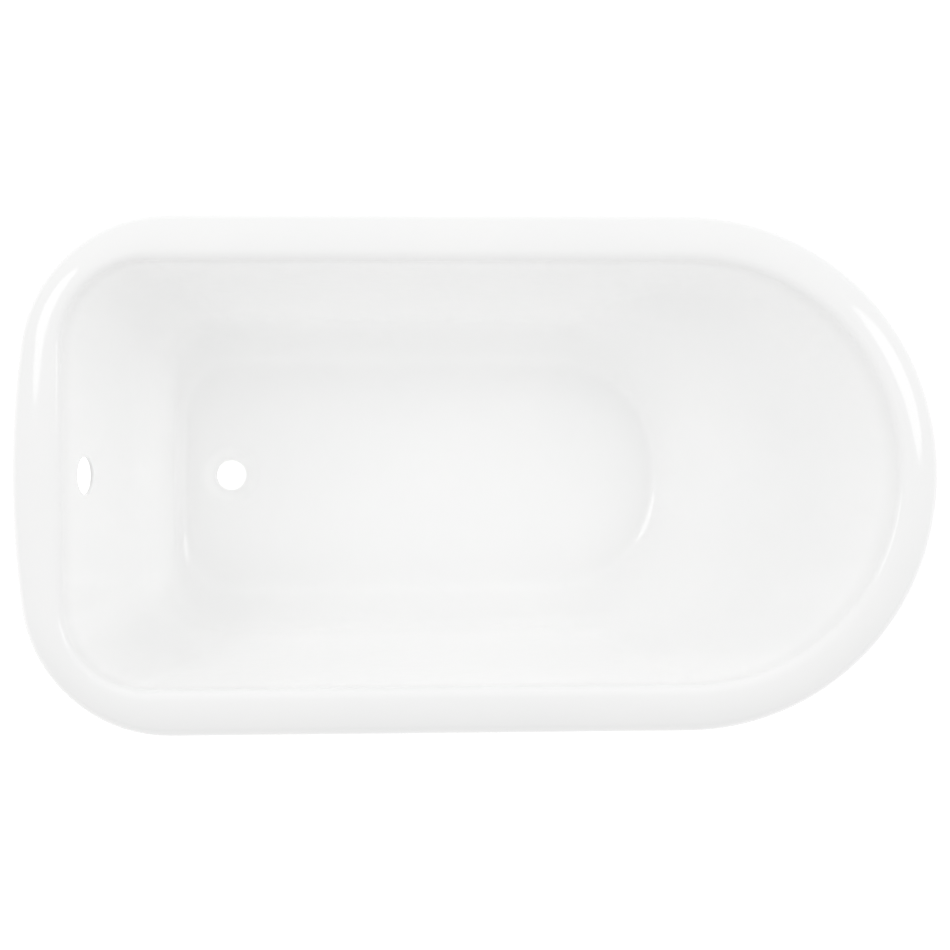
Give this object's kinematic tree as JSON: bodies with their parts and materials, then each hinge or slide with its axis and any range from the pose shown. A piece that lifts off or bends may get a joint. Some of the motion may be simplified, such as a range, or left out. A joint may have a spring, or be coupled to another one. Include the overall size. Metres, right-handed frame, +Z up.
{
  "type": "clawfoot bathtub",
  "caption": "Freestanding roll-rim bathtub of white enamelled cast iron with a sloping head end, on claw-and-ball feet with screw levellers.",
  "frame": {"origin": "on the ground under the middle of the rim's length and width", "axes": "+X from the drain end to the sloping head end, +Y to the left feet, +Z up"},
  "size_m": [1.3718, 0.7738, 0.6001],
  "materials": {
    "white_enamel": "gloss",
    "foot_nickel": "satin",
    "zinc_steel": "satin",
    "glide_nylon": "matte"
  },
  "bodies": {
    "root": {"tub_body": "white_enamel", "foot_drain_left": "foot_nickel", "foot_stud_drain_left": "zinc_steel", "foot_washer_drain_left": "zinc_steel", "foot_spring_washer_drain_left": "zinc_steel", "foot_nut_drain_left": "zinc_steel", "leveller_locknut_drain_left": "zinc_steel", "foot_drain_right": "foot_nickel", "foot_stud_drain_right": "zinc_steel", "foot_washer_drain_right": "zinc_steel", "foot_spring_washer_drain_right": "zinc_steel", "foot_nut_drain_right": "zinc_steel", "leveller_locknut_drain_right": "zinc_steel", "foot_head_left": "foot_nickel", "foot_stud_head_left": "zinc_steel", "foot_washer_head_left": "zinc_steel", "foot_spring_washer_head_left": "zinc_steel", "foot_nut_head_left": "zinc_steel", "leveller_locknut_head_left": "zinc_steel", "foot_head_right": "foot_nickel", "foot_stud_head_right": "zinc_steel", "foot_washer_head_right": "zinc_steel", "foot_spring_washer_head_right": "zinc_steel", "foot_nut_head_right": "zinc_steel", "leveller_locknut_head_right": "zinc_steel"},
    "leveller_glide_drain_left": {"leveller_glide_drain_left": "glide_nylon"},
    "leveller_screw_drain_left": {"leveller_screw_drain_left": "zinc_steel"},
    "leveller_glide_drain_right": {"leveller_glide_drain_right": "glide_nylon"},
    "leveller_screw_drain_right": {"leveller_screw_drain_right": "zinc_steel"},
    "leveller_glide_head_left": {"leveller_glide_head_left": "glide_nylon"},
    "leveller_screw_head_left": {"leveller_screw_head_left": "zinc_steel"},
    "leveller_glide_head_right": {"leveller_glide_head_right": "glide_nylon"},
    "leveller_screw_head_right": {"leveller_screw_head_right": "zinc_steel"}
  },
  "joints": [
    {"name": "leveller_travel_drain_left", "type": "slide", "parent": "root", "child": "leveller_glide_drain_left", "axis": [0, 0, -1], "range_m": [0, 0.01]},
    {"name": "leveller_turn_drain_left", "type": "hinge", "parent": "leveller_glide_drain_left", "child": "leveller_screw_drain_left", "pos_m": [-0.45938, 0.22106, 0.03], "axis": [0, 0, -1], "range_deg": [0, 2404]},
    {"name": "leveller_travel_drain_right", "type": "slide", "parent": "root", "child": "leveller_glide_drain_right", "axis": [0, 0, -1], "range_m": [0, 0.01]},
    {"name": "leveller_turn_drain_right", "type": "hinge", "parent": "leveller_glide_drain_right", "child": "leveller_screw_drain_right", "pos_m": [-0.45938, -0.22106, 0.03], "axis": [0, 0, -1], "range_deg": [0, 2404]},
    {"name": "leveller_travel_head_left", "type": "slide", "parent": "root", "child": "leveller_glide_head_left", "axis": [0, 0, -1], "range_m": [0, 0.01]},
    {"name": "leveller_turn_head_left", "type": "hinge", "parent": "leveller_glide_head_left", "child": "leveller_screw_head_left", "pos_m": [0.24677, 0.21105, 0.03], "axis": [0, 0, -1], "range_deg": [0, 2404]},
    {"name": "leveller_travel_head_right", "type": "slide", "parent": "root", "child": "leveller_glide_head_right", "axis": [0, 0, -1], "range_m": [0, 0.01]},
    {"name": "leveller_turn_head_right", "type": "hinge", "parent": "leveller_glide_head_right", "child": "leveller_screw_head_right", "pos_m": [0.24677, -0.21105, 0.03], "axis": [0, 0, -1], "range_deg": [0, 2404]}
  ],
  "couplings": [
    {"joint": "leveller_turn_drain_left", "follows": "leveller_travel_drain_left", "rad_per_m": 4188.8},
    {"joint": "leveller_turn_drain_right", "follows": "leveller_travel_drain_right", "rad_per_m": 4188.8},
    {"joint": "leveller_turn_head_left", "follows": "leveller_travel_head_left", "rad_per_m": 4188.8},
    {"joint": "leveller_turn_head_right", "follows": "leveller_travel_head_right", "rad_per_m": 4188.8}
  ]
}
